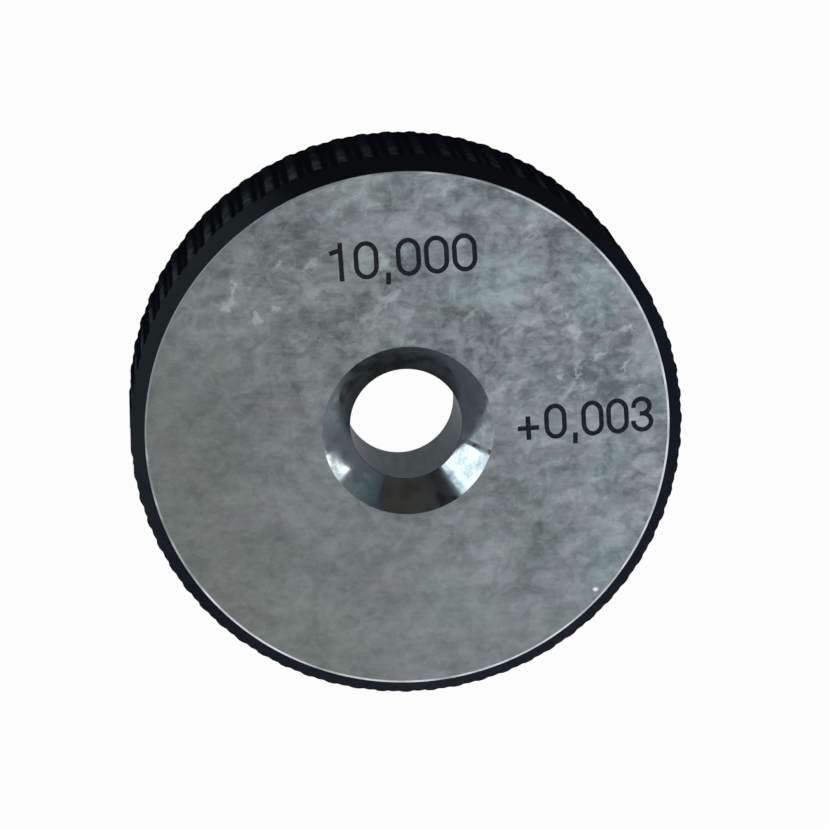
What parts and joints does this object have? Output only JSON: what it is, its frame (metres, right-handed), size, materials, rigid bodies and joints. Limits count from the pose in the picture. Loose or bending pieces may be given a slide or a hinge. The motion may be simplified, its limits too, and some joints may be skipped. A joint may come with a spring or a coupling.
{
  "type": "setting ring gauge",
  "caption": "Round steel setting ring with a knurled rim, chamfered edges and a countersunk central gauging bore.",
  "frame": {"origin": "centre of the back face, where the ring rests", "axes": "+Z along the bore, out of the marked face; +X is the reading direction of the engraved numbers"},
  "size_m": [0.0492, 0.0492, 0.015],
  "materials": {
    "gauge_steel": "lapped faces, polished lead-in cones, blackened knurled rim"
  },
  "bodies": {
    "root": {"setting_ring": "gauge_steel"}
  },
  "joints": []
}
